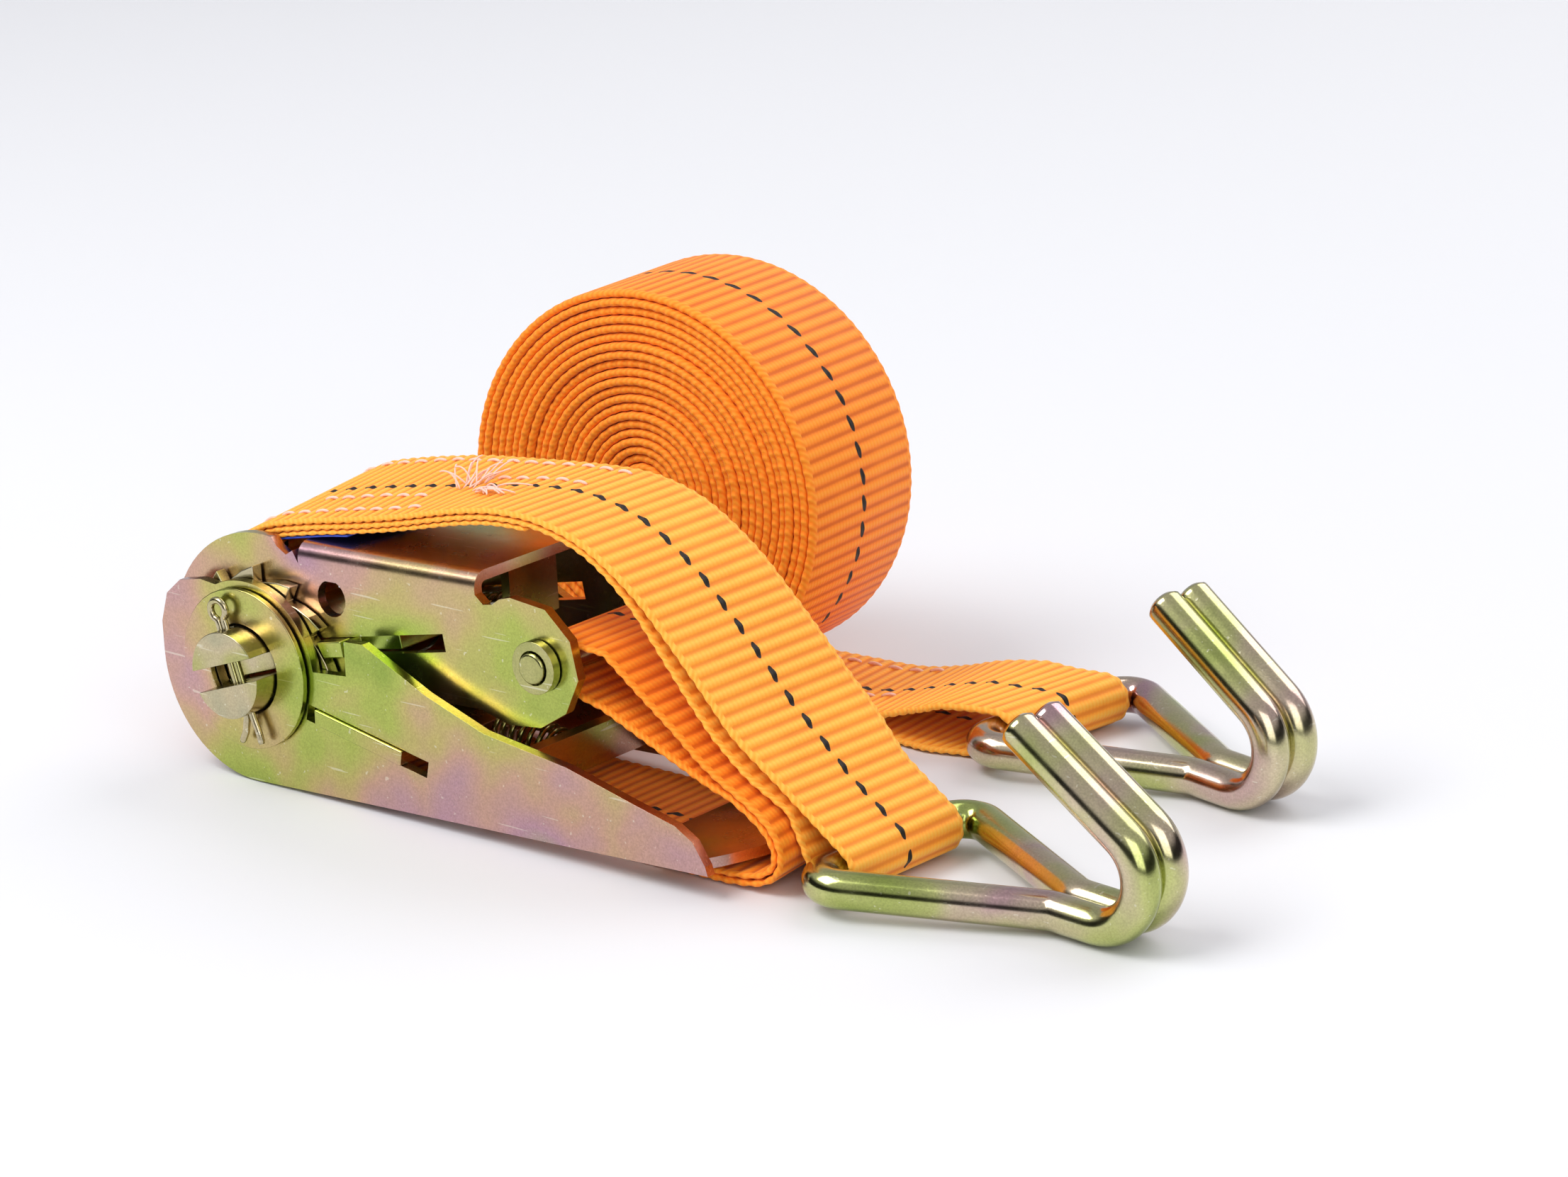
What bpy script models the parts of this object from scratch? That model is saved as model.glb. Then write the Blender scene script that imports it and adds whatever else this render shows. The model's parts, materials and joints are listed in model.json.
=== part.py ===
"""Ratchet tie down: a closed buckle lying on its back, its short hooked strap wrapped round it, and
its long strap rolled up behind it with a second hook.

Lengths are in millimetres and scaled by MM. The buckle is drawn in its own frame, with the mandrel
axis along Y at the origin, X along the handle and Z up, and an empty tilts and lifts it.
"""

import math

import bmesh
import bpy
from mathutils import Matrix, Vector

MM = 0.001
FIT = 0.35

WEB_HALF = 17.5
WEB_THICK = 1.35
DOUBLE = 2 * WEB_THICK

SHEET = 2.0
FRAME_IN = 18.3
FRAME_OUT = FRAME_IN + SHEET
GEAR_IN = FRAME_OUT + FIT
GEAR_OUT = GEAR_IN + 2.5
HANDLE_IN = GEAR_OUT + FIT
HANDLE_OUT = HANDLE_IN + SHEET
WASHER_IN = HANDLE_OUT + FIT
WASHER_OUT = WASHER_IN + 1.2
MANDREL_END = 32.0
COTTER_Y = 28.7

TILT = math.radians(2.2)
HUB_LOW = 22.2
AXIS_AT = (-40.0, 0.0, HUB_LOW + 0.1)
ORIGIN_SHIFT = -40.0

FRAME_HUB = 12.8
FRAME_BULGE = 24.5
FRAME_TOP = 24.0
FRAME_WEB = (9.9, 53.6)
BORE = 8.7
PIN_AT = (68.3, 9.0)
PIN_R = 2.9
PIN_END = 23.2
HOLE_AT = (17.8, 14.3)
HOLE_R = 3.5

HANDLE_HUB = 16.6
HANDLE_END = 108.6
HANDLE_WEB = 90.0
TONGUE = 111.5

MANDREL_R = 8.3
SLOT_HALF = 2.1
MANDREL_TURN = math.radians(17.0)
TEETH = 12
GEAR_TIP = 19.0
GEAR_ROOT = 15.5
GEAR_TURN = 28.0
BRIDGE_HALF = 1.7
WASHER_R = 15.4

LOCK_TILT = math.radians(9.5)
LOCK_BAR = (0.65, 3.75)
LOCK_REACH = (16.4, 17.65)
DRIVE_TILT = math.radians(-12.6)
DRIVE_BAR = (-4.65, -1.75)
DRIVE_REACH = (18.05, 17.55)

WIRE_R = 3.5
HOOK_HALF = 23.5
HOOK_NECK = 3.75
HOOK_REACH = 48.5
HOOK_BEND = 9.3
HOOK_TURN = math.radians(148.0)
HOOK_TIP = 27.0
NEAR_HOOK = (127.0, 2.5, 5.25, math.radians(-2.5))
FAR_HOOK = (109.8, 76.6, 5.25, math.radians(-8.5))
HOOK_DIP = math.radians(2.0)

COIL_AT = (27.3, 72.5)
COIL_YAW = math.radians(4.5)
GATHER = 2.2
COIL_R = 41.0
COIL_PITCH = 1.72
COIL_TURNS = 22

PALETTE = {
    "steel": ((0.62, 0.60, 0.36, 1.0), 1.0, 0.28),
    "gear": ((0.60, 0.56, 0.34, 1.0), 1.0, 0.35),
    "webbing": ((0.95, 0.36, 0.04, 1.0), 0.0, 0.85),
    "label": ((0.10, 0.18, 0.65, 1.0), 0.0, 0.6),
}


def clear_scene():
    """Remove the start-up objects and make the two collections."""
    for thing in list(bpy.data.objects):
        bpy.data.objects.remove(thing, do_unlink=True)
    made = {}
    for name in ("ratchet_tie_down", "cutters"):
        made[name] = bpy.data.collections.new(name)
        bpy.context.scene.collection.children.link(made[name])
    return made


COLLECTIONS = clear_scene()


def material(name, kind):
    """Make one Principled material for a sub-part."""
    colour, metallic, roughness = PALETTE[kind]
    made = bpy.data.materials.new(name)
    made.use_nodes = True
    shader = made.node_tree.nodes["Principled BSDF"]
    shader.inputs["Base Color"].default_value = colour
    shader.inputs["Metallic"].default_value = metallic
    shader.inputs["Roughness"].default_value = roughness
    return made


def empty(name, parent=None, at=(0, 0, 0), turn=(0, 0, 0)):
    """Make an empty that carries pieces on a shared axis."""
    made = bpy.data.objects.new(name, None)
    made.empty_display_size = 0.01
    COLLECTIONS["ratchet_tie_down"].objects.link(made)
    made.parent = parent
    made.location = [c * MM for c in at]
    made.rotation_euler = turn
    return made


def add(name, kind, mesh, parent=None, at=(0, 0, 0), turn=(0, 0, 0), sharp=35.0):
    """Make a named sub-part from a mesh that is still in millimetres."""
    mesh.transform(Matrix.Scale(MM, 4))
    body = bmesh.new()
    body.from_mesh(mesh)
    bmesh.ops.recalc_face_normals(body, faces=body.faces)
    body.to_mesh(mesh)
    body.free()
    made = bpy.data.objects.new(name, mesh)
    COLLECTIONS["ratchet_tie_down"].objects.link(made)
    made.parent = parent
    made.location = [c * MM for c in at]
    made.rotation_euler = turn
    mesh.materials.clear()
    mesh.materials.append(material(name, kind))
    mesh.shade_smooth()
    mesh.set_sharp_from_angle(angle=math.radians(sharp))
    return made


def evaluated(thing):
    """Return the evaluated mesh of an object and remove the object."""
    bpy.context.view_layer.update()
    graph = bpy.context.evaluated_depsgraph_get()
    mesh = bpy.data.meshes.new_from_object(thing.evaluated_get(graph))
    bpy.data.objects.remove(thing, do_unlink=True)
    body = bmesh.new()
    body.from_mesh(mesh)
    bmesh.ops.remove_doubles(body, verts=body.verts, dist=0.0001)
    body.to_mesh(mesh)
    body.free()
    return mesh


def plate(outline, holes, low, high):
    """Return a flat plate in the XZ plane between two Y values."""
    curve = bpy.data.curves.new("outline", "CURVE")
    curve.dimensions = "2D"
    curve.fill_mode = "BOTH"
    curve.extrude = (high - low) / 2
    for ring in [outline] + list(holes):
        spline = curve.splines.new("POLY")
        spline.points.add(len(ring) - 1)
        for point, (x, z) in zip(spline.points, ring):
            point.co = (x, z, 0, 1)
        spline.use_cyclic_u = True
    thing = bpy.data.objects.new("outline", curve)
    COLLECTIONS["cutters"].objects.link(thing)
    mesh = evaluated(thing)
    mesh.transform(Matrix.Translation((0, (low + high) / 2, 0)) @ Matrix.Rotation(math.pi / 2, 4, "X"))
    return mesh


def combine(meshes, operation):
    """Return the first mesh combined with the others by one kind of Boolean."""
    target = bpy.data.objects.new("target", meshes[0])
    COLLECTIONS["cutters"].objects.link(target)
    tools = []
    for mesh in meshes[1:]:
        tool = bpy.data.objects.new("tool", mesh)
        COLLECTIONS["cutters"].objects.link(tool)
        tool.hide_render = True
        tool.display_type = "WIRE"
        tools.append(tool)
        step = target.modifiers.new("step", "BOOLEAN")
        step.operation = operation
        step.solver = "EXACT"
        step.object = tool
    mesh = evaluated(target)
    for tool in tools:
        bpy.data.objects.remove(tool, do_unlink=True)
    return mesh


def arc(centre, radius, start, end, steps):
    """Return points on an arc, in degrees, counterclockwise when end is larger."""
    return [(centre[0] + radius * math.cos(math.radians(start + (end - start) * i / steps)),
             centre[1] + radius * math.sin(math.radians(start + (end - start) * i / steps)))
            for i in range(steps + 1)]


def circle(centre, radius, steps=32):
    """Return a closed ring of points."""
    return arc(centre, radius, 0, 360 - 360 / steps, steps - 1)


def turned(points, angle):
    """Turn 2-D points about the origin."""
    c, s = math.cos(angle), math.sin(angle)
    return [(u * c - v * s, u * s + v * c) for u, v in points]


def prism(profile, low, high, place):
    """Extrude a closed outline; place maps (a, b, along) to X, Y, Z."""
    body = bmesh.new()
    ends = [[body.verts.new(place(a, b, t)) for a, b in profile] for t in (low, high)]
    count = len(profile)
    body.faces.new(ends[0])
    body.faces.new(list(reversed(ends[1])))
    for i in range(count):
        j = (i + 1) % count
        body.faces.new((ends[0][j], ends[0][i], ends[1][i], ends[1][j]))
    bmesh.ops.recalc_face_normals(body, faces=body.faces)
    mesh = bpy.data.meshes.new("prism")
    body.to_mesh(mesh)
    body.free()
    return mesh


def channel(outer, top, leg_end, bend):
    """Return a U-shaped sheet section in (Y, Z), legs towards leg_end."""
    sign = 1 if top > leg_end else -1
    inner = outer - SHEET
    pieces = []
    for radius, half, level in ((bend, outer, top), (bend - SHEET, inner, top - sign * SHEET)):
        right = arc((half - radius, 0), radius, 0, 90, 5)
        side = [(y, level - sign * radius + sign * z) for y, z in right]
        pieces.append([(half, leg_end)] + side + [(-y, z) for y, z in reversed(side)] + [(-half, leg_end)])
    return pieces[0] + list(reversed(pieces[1]))


def wire(path, radius):
    """Return a round wire with filled caps along a list of points."""
    curve = bpy.data.curves.new("wire", "CURVE")
    curve.dimensions = "3D"
    curve.bevel_depth = radius
    curve.bevel_resolution = 2
    curve.use_fill_caps = True
    spline = curve.splines.new("POLY")
    spline.points.add(len(path) - 1)
    for point, place in zip(spline.points, path):
        point.co = (*place, 1)
    thing = bpy.data.objects.new("wire", curve)
    COLLECTIONS["cutters"].objects.link(thing)
    return evaluated(thing)


def rounded(corners, radius, steps=5):
    """Replace the inner corners of a 3-D polyline with arcs."""
    out = [Vector(corners[0])]
    for before, corner, after in zip(corners, corners[1:], corners[2:]):
        before, corner, after = Vector(before), Vector(corner), Vector(after)
        a, b = (before - corner).normalized(), (after - corner).normalized()
        half = a.angle(b) / 2
        start = corner + a * radius / math.tan(half)
        end = corner + b * radius / math.tan(half)
        centre = corner + (a + b).normalized() * radius / math.sin(half)
        for i in range(steps + 1):
            mix = (start - centre).slerp(end - centre, i / steps)
            out.append(centre + mix.normalized() * radius)
    out.append(Vector(corners[-1]))
    return out


def smooth(points, step):
    """Return evenly spaced points on a Catmull-Rom curve through 2-D points."""
    pts = [Vector(p) for p in points]
    pts = [pts[0] * 2 - pts[1]] + pts + [pts[-1] * 2 - pts[-2]]
    dense = []
    for a, b, c, d in zip(pts, pts[1:], pts[2:], pts[3:]):
        for i in range(12):
            t = i / 12
            dense.append(0.5 * (2 * b + (c - a) * t + (2 * a - 5 * b + 4 * c - d) * t * t
                                + (3 * b - a - 3 * c + d) * t ** 3))
    dense.append(pts[-2])
    return respaced(dense, step)


def respaced(dense, step):
    """Return points about one step apart along a polyline, ends kept."""
    lengths = [0.0]
    for a, b in zip(dense, dense[1:]):
        lengths.append(lengths[-1] + (Vector(b) - Vector(a)).length)
    count = max(2, round(lengths[-1] / step))
    out, k = [], 0
    for i in range(count + 1):
        want = lengths[-1] * i / count
        while k < len(dense) - 2 and lengths[k + 1] < want:
            k += 1
        part = (want - lengths[k]) / max(lengths[k + 1] - lengths[k], 1e-9)
        out.append(Vector(dense[k]).lerp(Vector(dense[k + 1]), min(part, 1.0)))
    return out


def ramp(value, start, end):
    """Return 0 before start, 1 after end and a smooth step between."""
    share = min(max((value - start) / (end - start), 0.0), 1.0)
    return share * share * (3 - 2 * share)


def ribbon(path, thick, centre=lambda x: 0.0, half=lambda x: WEB_HALF, skew=lambda x: 0.0,
           roll=lambda p: 0.0):
    """Return webbing whose centre line runs along a path in XZ, narrowed, skewed and rolled."""
    body = bmesh.new()
    rows = []
    for i, here in enumerate(path):
        along = (path[min(i + 1, len(path) - 1)] - path[max(i - 1, 0)]).normalized()
        normal = Vector((-along.y, along.x)) * thick / 2
        mid, reach, lean, rise = centre(here.x), half(here.x), skew(here.x), roll(here)
        row = []
        for side, offset in ((-reach, normal), (reach, normal), (reach, -normal), (-reach, -normal)):
            at = here + offset
            row.append(body.verts.new((at.x + lean * side, mid + side, at.y + rise * (side + WEB_HALF))))
        rows.append(row)
    for a, b in zip(rows, rows[1:]):
        for i in range(4):
            j = (i + 1) % 4
            body.faces.new((a[i], a[j], b[j], b[i]))
    body.faces.new(list(reversed(rows[0])))
    body.faces.new(rows[-1])
    mesh = bpy.data.meshes.new("ribbon")
    body.to_mesh(mesh)
    body.free()
    return mesh


def eye_path(upper, lower, centre, radius):
    """Return a path that runs along upper, turns round centre on its far side and runs along lower."""
    side = 1 if upper[-1][0] > centre[0] else -1

    def tangent(point, way):
        gap = Vector(point) - Vector(centre)
        return math.atan2(gap.y, gap.x) + way * math.acos(radius / gap.length)

    start, end = tangent(upper[-1], side), tangent(lower[0], -side)
    while side * (end - start) < 0:
        end += side * 2 * math.pi
    turn = [Vector((centre[0] + radius * math.cos(start + (end - start) * i / 16),
                    centre[1] + radius * math.sin(start + (end - start) * i / 16))) for i in range(17)]
    return [Vector(p) for p in upper] + turn + [Vector(p) for p in lower]


def frame_bracket(parent):
    """Two hub plates joined by the folded web, with the lug the lock spring bears on."""
    outline = (arc((0, 0), FRAME_HUB, 176, 352, 24) + [(53.1, -1.5), (59.8, -3.4), (67.4, -2.8)]
               + [(73.6, 0.8), (77.0, 7.4), (75.6, 14.4), (70.2, 19.5), (62.0, 20.6), (59.4, 19.9)]
               + [(57.6, 18.7), (55.5, 18.4), (53.6, 20.0), (9.9, 20.0), (8.6, 22.3), (6.9, 21.3)]
               + [(4.7, 22.6)] + arc((0, 0), FRAME_BULGE, 82, 172, 18))
    slot = turned([(14.2, LOCK_BAR[0] - 0.15), (46.3, LOCK_BAR[0] - 0.15),
                   (46.3, LOCK_BAR[1] + 0.15), (14.2, LOCK_BAR[1] + 0.15)], LOCK_TILT)
    holes = [circle((0, 0), BORE), circle(PIN_AT, PIN_R + 0.15, 20), circle(HOLE_AT, HOLE_R, 20), slot]
    plates = [plate(outline, holes, side * FRAME_IN, side * FRAME_OUT) if side > 0
              else plate(outline, holes, -FRAME_OUT, -FRAME_IN) for side in (-1, 1)]
    web = prism(channel(FRAME_OUT, FRAME_TOP, 17.5, 3.0), *FRAME_WEB, lambda y, z, x: (x, y, z))
    lug = prism([(47.5, 10.0), (49.5, 10.0), (49.5, 22.6), (47.5, 22.6)], -6.5, 6.5,
                lambda x, z, y: (x, y, z))
    add("frame_bracket", "steel", combine([plates[0], plates[1], web, lug], "UNION"), parent)


def handle_bracket(parent):
    """Two long plates, joined near the tip by a channel with a tongue, with the drive spring's lug."""
    blend = [(R * math.cos(math.radians(t)), R * math.sin(math.radians(t)))
             for R, t in ((19.0, 125), (22.0, 138), (23.3, 150), (22.9, 165))]
    outline = (arc((0, 0), HANDLE_HUB, 5, 115, 18) + blend + arc((0, 0), HUB_LOW, 180, 270, 18)
               + [(7.9, -22.2), (HANDLE_END, -21.9), (108.1, -20.2), (105.5, -16.1), (101.7, -13.8)]
               + [(93.4, -11.6), (77.4, -7.1), (57.9, -3.8), (44.3, 1.3), (29.7, 8.6), (25.1, 8.5)]
               + [(25.0, 1.9)])
    slot = turned([(15.4, DRIVE_BAR[0] - 0.15), (45.6, DRIVE_BAR[0] - 0.15),
                   (45.6, DRIVE_BAR[1] + 0.15), (15.4, DRIVE_BAR[1] + 0.15)], DRIVE_TILT)
    holes = [circle((0, 0), BORE), slot]
    plates = [plate(outline, holes, -HANDLE_OUT, -HANDLE_IN), plate(outline, holes, HANDLE_IN, HANDLE_OUT)]
    web = prism(channel(HANDLE_OUT, -22.0, -17.5, 3.0), HANDLE_WEB, 105.0, lambda y, z, x: (x, y, z))
    reach = (HANDLE_OUT ** 2 + (TONGUE - 104.0) ** 2) / (2 * (TONGUE - 104.0))
    nose = [(TONGUE - reach + math.sqrt(reach ** 2 - y ** 2), y)
            for y in [HANDLE_OUT * 0.97 * (1 - i / 6) for i in range(13)]]
    tongue = prism([(103.0, HANDLE_OUT - 3.0)] + nose + [(103.0, 3.0 - HANDLE_OUT)], -22.0, -20.0,
                   lambda x, y, z: (x, y, z))
    lug = prism(turned([(56.0, -7.4), (58.0, -7.4), (58.0, 1.2), (56.0, 1.2)], DRIVE_TILT),
                -HANDLE_IN - 1, HANDLE_IN + 1, lambda x, z, y: (x, y, z))
    add("handle_bracket", "steel", combine([plates[0], plates[1], web, tongue, lug], "UNION"), parent)


def pawl(name, parent, tilt, bar, reach, half, tail, shoulder):
    """A sliding plate with a chisel tip across both gears and a tongue inside its spring."""
    inner = FRAME_IN - FIT
    right = [(0.0, half), (shoulder, half), (shoulder, inner), (tail, inner), (tail, 2.3), (tail + 5.5, 2.3)]
    outline = right + [(u, -y) for u, y in reversed(right)]

    def place(u, y, v):
        x, z = turned([(u or (reach[0] if v == bar[0] else reach[1]), v)], tilt)[0]
        return (x, y, z)

    add(name, "steel", prism(outline, bar[0], bar[1], place), parent)


def spring(name, parent, tilt, height, start, end, radius, turns, gauge):
    """A compression spring along a pawl's slide."""
    path = []
    for i in range(turns * 12 + 1):
        angle = 2 * math.pi * i / 12
        u = start + (end - start) * i / (turns * 12)
        x, z = turned([(u, height + radius * math.sin(angle))], tilt)[0]
        path.append((x, radius * math.cos(angle), z))
    add(name, "steel", wire(path, gauge), parent)


def mandrel(parent):
    """The two half-moon shafts."""
    for name, turn in (("mandrel_half_upper", 0.0), ("mandrel_half_lower", math.pi)):
        low = math.degrees(math.asin(SLOT_HALF / MANDREL_R))
        section = turned(arc((0, 0), MANDREL_R, low, 180 - low, 18), MANDREL_TURN + turn)
        half = prism(section, -MANDREL_END, MANDREL_END, lambda x, z, y: (x, y, z))
        drills = []
        for side in (-1, 1):
            drill = wire([(0, side * COTTER_Y, -14), (0, side * COTTER_Y, 14)], 1.9)
            drill.transform(Matrix.Rotation(-MANDREL_TURN, 4, "Y"))
            drills.append(drill)
        add(name, "steel", combine([half] + drills, "DIFFERENCE"), parent)


def gears(parent):
    """Two saw-toothed wheels, each with two half-moon holes."""
    outline = []
    for k in range(TEETH):
        start = GEAR_TURN + 360 / TEETH * k
        for i in range(4):
            share = i / 3
            radius = GEAR_TIP - (GEAR_TIP - GEAR_ROOT) * share
            angle = math.radians(start + (360 / TEETH - 0.6) * share)
            outline.append((radius * math.cos(angle), radius * math.sin(angle)))
    low = math.degrees(math.asin(BRIDGE_HALF / BORE))
    moons = [turned(arc((0, 0), BORE, low, 180 - low, 12), MANDREL_TURN + turn) for turn in (0, math.pi)]
    for name, low_y, high_y in (("gear_near", -GEAR_OUT, -GEAR_IN), ("gear_far", GEAR_IN, GEAR_OUT)):
        add(name, "gear", plate(outline, moons, low_y, high_y), parent)


def washers(parent):
    """A washer outside each handle plate."""
    for name, low, high in (("washer_near", -WASHER_OUT, -WASHER_IN), ("washer_far", WASHER_IN, WASHER_OUT)):
        add(name, "steel", plate(circle((0, 0), WASHER_R, 40), [circle((0, 0), BORE)], low, high), parent)


def cotters(parent):
    """A cotter pin through both half-moons beyond each washer."""
    eye = arc((0, 11.9), 1.9, -66, 246, 12)
    path = ([(-3.9, -13.0), (-2.2, -11.3), (-0.8, -8.8)] + [(-0.78, 9.0)] + [(p[0] * -1, p[1]) for p in eye]
            + [(0.78, 9.0), (0.8, -9.2), (1.1, -12.2), (1.0, -14.2)])
    for name, y in (("cotter_near", -COTTER_Y), ("cotter_far", COTTER_Y)):
        mesh = wire([(x, y, z) for x, z in path], 0.68)
        mesh.transform(Matrix.Rotation(-MANDREL_TURN, 4, "Y"))
        add(name, "steel", mesh, parent)


def frame_pin(parent):
    """The pin the short strap is sewn round, with a ring on each end."""
    add("frame_pin", "steel", prism(circle(PIN_AT, PIN_R, 20), -PIN_END, PIN_END, lambda x, z, y: (x, y, z)),
        parent)
    for name, low, high in (("pin_ring_near", -22.4, -20.6), ("pin_ring_far", 20.6, 22.4)):
        ring = plate(circle(PIN_AT, 4.9, 24), [circle(PIN_AT, PIN_R + 0.3, 20)], low, high)
        add(name, "steel", ring, parent)


def world(point):
    """Map a point of the buckle's frame to ground X, Z, before the origin shift."""
    x, z = turned([point], TILT)[0]
    return (x, z + AXIS_AT[2])


def drift(x):
    """Sideways place of the short strap's centre as it runs to the near hook."""
    return NEAR_HOOK[1] * ramp(x, 66.0, 116.0)


def near_half(x):
    """Half width of the short strap, gathered between the near hook's corners."""
    return WEB_HALF - GATHER * ramp(x, 107.0, 121.0)


def far_rise(point):
    """Slope that lifts the strap's far edge where it comes off the buckle's round end."""
    return 0.115 * ramp(point.y, 27.0, 44.0) * (1 - ramp(point.x, 18.0, 58.0)) if point.x < 60.0 else 0.0


def near_skew(x):
    """Skew that brings the short strap parallel to the near hook's crossbar."""
    return -math.tan(NEAR_HOOK[3]) * ramp(x, 84.0, 119.0)


def short_strap():
    """The sewn loop: pin eye, wrap, top run, hook eye, and the label under the top run."""
    shift = (ORIGIN_SHIFT, 0, 0)
    pin = world(PIN_AT)
    radius = PIN_R + 0.3 + WEB_THICK / 2
    upper = smooth([(106.6, 18.2), (101.0, 21.8), (95.7, 26.0), (87.9, 31.6), (80.0, 37.4)], 4.0)
    lower = smooth([(79.3, 27.2), (87.4, 23.9), (97.0, 20.0), (101.5, 18.2), (106.0, 16.6)], 4.0)
    path = eye_path(upper, lower, pin, radius)
    add("strap_pin_eye", "webbing", ribbon(path, WEB_THICK), None, shift, sharp=50)

    wrap = smooth([(107.2, 17.1), (111.2, 14.3), (114.4, 11.2), (115.9, 7.9), (115.3, 4.9), (112.6, 2.6),
                   (108.0, 1.6), (100.0, 1.4), (60.0, 1.4), (20.0, 1.4), (2.0, 1.5), (-6.0, 3.0),
                   (-13.0, 8.0), (-17.3, 15.0), (-18.7, 23.0), (-17.6, 31.5), (-13.6, 38.6),
                   (-8.0, 43.2)], 4.2)
    mesh = ribbon(wrap, DOUBLE, skew=lambda x: -0.12 * ramp(x, 104.0, 115.0), roll=far_rise)
    add("strap_wrap", "webbing", mesh, None, shift, sharp=50)

    top = smooth([(-7.6, 43.5), (-1.0, 46.6), (8.4, 48.9), (20.0, 51.1), (31.8, 53.6), (45.8, 57.0),
                  (56.1, 58.6), (66.1, 58.3), (75.8, 55.4), (85.5, 48.9), (93.0, 41.5), (100.0, 33.9),
                  (106.0, 27.2)], 4.2)
    mesh = ribbon(top, DOUBLE, drift, near_half, near_skew, far_rise)
    add("strap_top_run", "webbing", mesh, None, shift, sharp=50)

    eye = eye_path([(106.9, 27.3), (112.7, 22.1), (119.2, 16.2)],
                   [(118.5, 14.5), (112.0, 20.3), (105.9, 26.3)],
                   (NEAR_HOOK[0], NEAR_HOOK[2]), WIRE_R + 0.3 + WEB_THICK / 2)
    mesh = ribbon(eye, WEB_THICK, drift, near_half, near_skew)
    add("strap_hook_eye", "webbing", mesh, None, shift, sharp=50)

    label = smooth([(-3.0, 43.8), (1.0, 45.2), (8.4, 46.85), (14.0, 48.0), (19.0, 48.8)], 3.0)
    add("strap_label", "label", ribbon(label, 0.4, lambda x: -6.0, lambda x: 11.3), None, shift, sharp=50)


def hook(name, at):
    """A wire bent to a triangle whose two ends run side by side into an open J."""
    x, y, z, yaw = at
    side = [(0, 0, 0), (0, -HOOK_HALF, 0), (HOOK_REACH - 9.0, -HOOK_NECK, 0), (HOOK_REACH, -HOOK_NECK, 0)]
    half = rounded(side, 4.6)
    for i in range(1, 13):
        turn = HOOK_TURN * i / 12
        half.append(Vector((HOOK_REACH + HOOK_BEND * math.sin(turn), -HOOK_NECK,
                            HOOK_BEND * (1 - math.cos(turn)))))
    tip = Vector((math.cos(HOOK_TURN), 0, math.sin(HOOK_TURN)))
    half.append(half[-1] + tip * HOOK_TIP)
    other = [Vector((p.x, -p.y, p.z)) for p in half]
    path = list(reversed(half)) + other[1:]
    add(name, "steel", wire(path, WIRE_R), None, (x + ORIGIN_SHIFT, y, z), (0, HOOK_DIP, yaw))


def long_strap():
    """The rolled strap, its tail and the eye sewn round the far hook."""
    yaw = COIL_YAW
    path = []
    for i in range(COIL_TURNS * 24 + 1):
        angle = -math.pi / 2 - 2 * math.pi * (COIL_TURNS * 24 - i) / 24
        radius = COIL_R - WEB_THICK / 2 - COIL_PITCH * (COIL_TURNS * 24 - i) / 24
        path.append(Vector((radius * math.cos(angle), COIL_R + radius * math.sin(angle))))
    keep = [p for p in path if (p - Vector((0, COIL_R))).length > 3.2]
    away = (FAR_HOOK[0] - COIL_AT[0], FAR_HOOK[1] - COIL_AT[1])
    reach = away[0] * math.cos(yaw) + away[1] * math.sin(yaw)
    aside = away[1] * math.cos(yaw) - away[0] * math.sin(yaw)
    tail = smooth([keep[-1], (8.0, 0.68), (14.0, 1.1), (19.0, 2.3), (30.0, 2.35), (42.0, 2.5), (52.0, 4.4),
                   (61.0, 7.2), (70.0, 9.4)], 4.5)
    eye = eye_path(tail[1:], smooth([(reach - 3.0, 0.72), (60.0, 0.69), (40.0, 0.69), (21.0, 0.69)], 5.0),
                   (reach, FAR_HOOK[2]), WIRE_R + 0.3 + WEB_THICK / 2)
    eye = [Vector((p.x, max(p.y, 0.69))) for p in eye]
    mesh = ribbon(keep + eye, WEB_THICK, lambda x: aside * ramp(x, 46.0, reach - 8.0),
                  lambda x: WEB_HALF - GATHER * ramp(x, reach - 18.0, reach - 4.0),
                  lambda x: math.tan(yaw - FAR_HOOK[3]) * ramp(x, reach - 25.0, reach - 4.0))
    add("long_strap", "webbing", mesh, None,
        (COIL_AT[0] + ORIGIN_SHIFT, COIL_AT[1], 0), (0, 0, yaw), sharp=50)


def build():
    """Build every sub-part."""
    buckle = empty("buckle", None, AXIS_AT, (0, -TILT, 0))
    frame_bracket(buckle)
    frame_pin(buckle)
    pawl("locking_pawl", buckle, LOCK_TILT, LOCK_BAR, (LOCK_REACH[1], LOCK_REACH[0]), GEAR_OUT, 33.0, 22.8)
    spring("locking_spring", buckle, LOCK_TILT, sum(LOCK_BAR) / 2, 34.0, 48.0, 3.9, 5, 0.5)
    handle_bracket(buckle)
    pawl("drive_pawl", buckle, DRIVE_TILT, DRIVE_BAR, DRIVE_REACH, HANDLE_OUT + 0.7, 41.0, 39.5)
    spring("drive_spring", buckle, DRIVE_TILT, sum(DRIVE_BAR) / 2, 41.9, 55.1, 3.9, 5, 0.5)
    mandrel(buckle)
    gears(buckle)
    washers(buckle)
    cotters(buckle)
    short_strap()
    hook("near_hook", NEAR_HOOK)
    long_strap()
    hook("far_hook", FAR_HOOK)
    for thing in list(COLLECTIONS["cutters"].objects):
        bpy.data.objects.remove(thing, do_unlink=True)


build()
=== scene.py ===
"""Looks for the ratchet tie down: woven straps, stitching, plated steel, and a white sweep."""

import json
import logging
import math
from dataclasses import dataclass, field
from enum import Enum
from typing import Callable, Optional, Sequence

import bmesh
import bpy
import numpy as np
from mathutils import Matrix, Vector

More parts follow.
